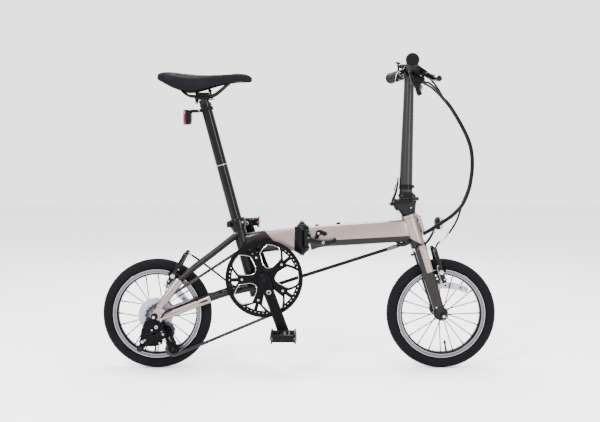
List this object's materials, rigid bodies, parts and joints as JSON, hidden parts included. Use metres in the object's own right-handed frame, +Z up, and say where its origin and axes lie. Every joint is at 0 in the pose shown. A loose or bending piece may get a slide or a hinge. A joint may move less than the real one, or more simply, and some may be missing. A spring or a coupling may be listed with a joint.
{
  "type": "folding bicycle",
  "caption": "Small-wheel folding bicycle: side-hinged frame, folding handlepost, sliding seatpost, rim brakes and a single-chainring drive with a derailleur.",
  "frame": {"origin": "on the ground, in the middle plane, midway between the two axles", "axes": "+X forward, +Y to the rider's left, +Z up"},
  "size_m": [1.168, 0.5442, 0.9037],
  "materials": {
    "champagne_frame": "satin metallic paint",
    "brown_frame": "dark brown metallic paint",
    "black_metal": "satin black",
    "black_plastic": "matt",
    "tyre_rubber": "matt",
    "grip_rubber": "matt",
    "saddle_cover": "satin",
    "rim_silver": "brushed",
    "bright_steel": "polished",
    "rail_steel": "black",
    "chain_steel": "oiled",
    "sprocket_steel": "plated",
    "red_lens": "glossy",
    "clear_lens": "glossy"
  },
  "bodies": {
    "rear_frame": {"seat_tube": "brown_frame", "main_tube_rear": "brown_frame", "hinge_leaf_rear": "black_metal", "seatstay_left": "brown_frame", "seatstay_right": "brown_frame", "chainstay_left": "champagne_frame", "chainstay_right": "champagne_frame", "seat_clamp_collar": "black_metal", "rear_axle": "bright_steel", "chain": "chain_steel", "rear_derailleur": "black_metal", "tie_cable": "black_plastic", "rear_brake_cable": "black_plastic", "shift_cable": "black_plastic"},
    "front_frame": {"main_tube_front": "champagne_frame", "head_tube": "champagne_frame", "hinge_leaf_front": "black_metal", "frame_hinge_pin": "bright_steel"},
    "frame_latch": {"frame_latch_lever": "black_metal"},
    "steered_fork": {"fork": "brown_frame", "front_axle": "bright_steel", "handlepost_base": "black_metal", "front_reflector": "clear_lens", "control_cables_lower": "black_plastic", "front_brake_cable": "black_plastic"},
    "post": {"handlepost": "black_metal", "handlebar": "black_metal", "grip_left": "grip_rubber", "grip_right": "grip_rubber", "brake_bracket_left": "black_plastic", "brake_bracket_right": "black_plastic", "shifter_body": "black_plastic", "control_cables_upper": "black_plastic"},
    "post_latch": {"handlepost_latch_lever": "black_metal"},
    "lever_left": {"brake_lever_left": "black_metal"},
    "lever_right": {"brake_lever_right": "black_metal"},
    "shift_thumb": {"thumb_lever": "black_plastic"},
    "front_wheel": {"front_tyre": "tyre_rubber", "front_rim": "rim_silver", "front_hub_and_spokes": "black_metal"},
    "rear_wheel": {"rear_tyre": "tyre_rubber", "rear_rim": "rim_silver", "rear_hub_and_spokes": "black_metal"},
    "sprockets": {"cassette": "sprocket_steel"},
    "guide_wheel": {"guide_pulley": "black_plastic"},
    "tension_wheel": {"tension_pulley": "black_plastic"},
    "crankset": {"chainring": "black_metal", "crank_arm_right": "black_metal", "crank_arm_left": "black_metal"},
    "pedal_r": {"pedal_right": "black_plastic"},
    "pedal_l": {"pedal_left": "black_plastic"},
    "seat": {"seatpost": "black_metal", "saddle_rails": "rail_steel", "saddle": "saddle_cover", "rear_reflector": "red_lens"},
    "seat_lever": {"seat_clamp_lever": "black_metal"},
    "brake_fl": {"front_brake_arm_left": "black_metal"},
    "brake_fr": {"front_brake_arm_right": "black_metal"},
    "brake_rl": {"rear_brake_arm_left": "black_metal"},
    "brake_rr": {"rear_brake_arm_right": "black_metal"}
  },
  "joints": [
    {"name": "frame_fold", "type": "hinge", "parent": "rear_frame", "child": "front_frame", "pos_m": [0.0085, 0.032, 0.385], "axis": [0, 0, 1], "range_deg": [0, 135], "deforming": ["tie_cable"]},
    {"name": "steering", "type": "hinge", "parent": "front_frame", "child": "steered_fork", "pos_m": [0.3559, 0, 0.3597], "axis": [0.3007, 0, -0.9537], "range_deg": [-60, 60], "deforming": ["control_cables_lower"]},
    {"name": "handlepost_fold", "type": "hinge", "parent": "steered_fork", "child": "post", "pos_m": [0.3415, -0.0225, 0.503], "axis": [0.7071, 0.7071, 0], "range_deg": [0, 158], "deforming": ["control_cables_upper"]},
    {"name": "seatpost_slide", "type": "slide", "parent": "rear_frame", "child": "seat", "axis": [-0.2605, 0, 0.9655], "range_m": [-0.28, 0.02]},
    {"name": "crank_spin", "type": "hinge", "parent": "rear_frame", "child": "crankset", "pos_m": [-0.1025, 0, 0.2713], "axis": [0, 1, 0], "continuous": true},
    {"name": "pedal_right_spin", "type": "hinge", "parent": "crankset", "child": "pedal_r", "pos_m": [-0.04453, 0, 0.11789], "axis": [0, 1, 0], "continuous": true},
    {"name": "pedal_left_spin", "type": "hinge", "parent": "crankset", "child": "pedal_l", "pos_m": [-0.16047, 0, 0.42471], "axis": [0, 1, 0], "continuous": true},
    {"name": "front_wheel_spin", "type": "hinge", "parent": "steered_fork", "child": "front_wheel", "pos_m": [0.422, 0, 0.162], "axis": [0, 1, 0], "continuous": true},
    {"name": "rear_wheel_spin", "type": "hinge", "parent": "rear_frame", "child": "rear_wheel", "pos_m": [-0.422, 0, 0.162], "axis": [0, 1, 0], "continuous": true},
    {"name": "cassette_spin", "type": "hinge", "parent": "rear_frame", "child": "sprockets", "pos_m": [-0.422, 0, 0.162], "axis": [0, 1, 0], "continuous": true},
    {"name": "guide_pulley_spin", "type": "hinge", "parent": "rear_frame", "child": "guide_wheel", "pos_m": [-0.388, 0, 0.118], "axis": [0, 1, 0], "continuous": true},
    {"name": "tension_pulley_spin", "type": "hinge", "parent": "rear_frame", "child": "tension_wheel", "pos_m": [-0.369, 0, 0.065], "axis": [0, 1, 0], "continuous": true},
    {"name": "frame_latch_swing", "type": "hinge", "parent": "front_frame", "child": "frame_latch", "pos_m": [0.02, -0.037, 0.386], "axis": [0, 0, -1], "range_deg": [0, 110]},
    {"name": "handlepost_latch_swing", "type": "hinge", "parent": "steered_fork", "child": "post_latch", "pos_m": [0.2745, 0, 0.487], "axis": [0, -1, 0], "range_deg": [0, 100]},
    {"name": "seat_lever_swing", "type": "hinge", "parent": "rear_frame", "child": "seat_lever", "pos_m": [-0.2075, 0.0265, 0.428], "axis": [-0.2605, 0, 0.9655], "range_deg": [0, 120]},
    {"name": "brake_lever_left_pull", "type": "hinge", "parent": "post", "child": "lever_left", "pos_m": [0.35089, 0.119, 0.86783], "axis": [0.5, 0, 0.866], "range_deg": [0, 20], "stiffness_Nm_per_rad": 1.5},
    {"name": "brake_lever_right_pull", "type": "hinge", "parent": "post", "child": "lever_right", "pos_m": [0.35089, -0.119, 0.86783], "axis": [-0.5, 0, -0.866], "range_deg": [0, 20], "stiffness_Nm_per_rad": 1.5},
    {"name": "thumb_lever_push", "type": "hinge", "parent": "post", "child": "shift_thumb", "pos_m": [0.338, -0.097, 0.831], "axis": [0, -1, 0], "range_deg": [0, 20], "stiffness_Nm_per_rad": 0.3},
    {"name": "front_brake_left", "type": "hinge", "parent": "steered_fork", "child": "brake_fl", "pos_m": [0.424, 0.038, 0.264], "axis": [0.9657, 0, 0.2596], "range_deg": [0, 4]},
    {"name": "front_brake_right", "type": "hinge", "parent": "steered_fork", "child": "brake_fr", "pos_m": [0.424, -0.038, 0.264], "axis": [-0.9657, 0, -0.2596], "range_deg": [0, 4]},
    {"name": "rear_brake_left", "type": "hinge", "parent": "rear_frame", "child": "brake_rl", "pos_m": [-0.381, 0.038, 0.259], "axis": [0.871, 0, -0.4913], "range_deg": [0, 4]},
    {"name": "rear_brake_right", "type": "hinge", "parent": "rear_frame", "child": "brake_rr", "pos_m": [-0.381, -0.038, 0.259], "axis": [-0.871, 0, 0.4913], "range_deg": [0, 4]}
  ],
  "couplings": [
    {"joint": "cassette_spin", "follows": "crank_spin", "ratio": 4.4167},
    {"joint": "guide_pulley_spin", "follows": "crank_spin", "ratio": -5.3},
    {"joint": "tension_pulley_spin", "follows": "crank_spin", "ratio": 5.3},
    {"joint": "front_brake_left", "follows": "brake_lever_left_pull", "ratio": 0.2},
    {"joint": "front_brake_right", "follows": "brake_lever_left_pull", "ratio": 0.2},
    {"joint": "rear_brake_left", "follows": "brake_lever_right_pull", "ratio": 0.2},
    {"joint": "rear_brake_right", "follows": "brake_lever_right_pull", "ratio": 0.2}
  ]
}
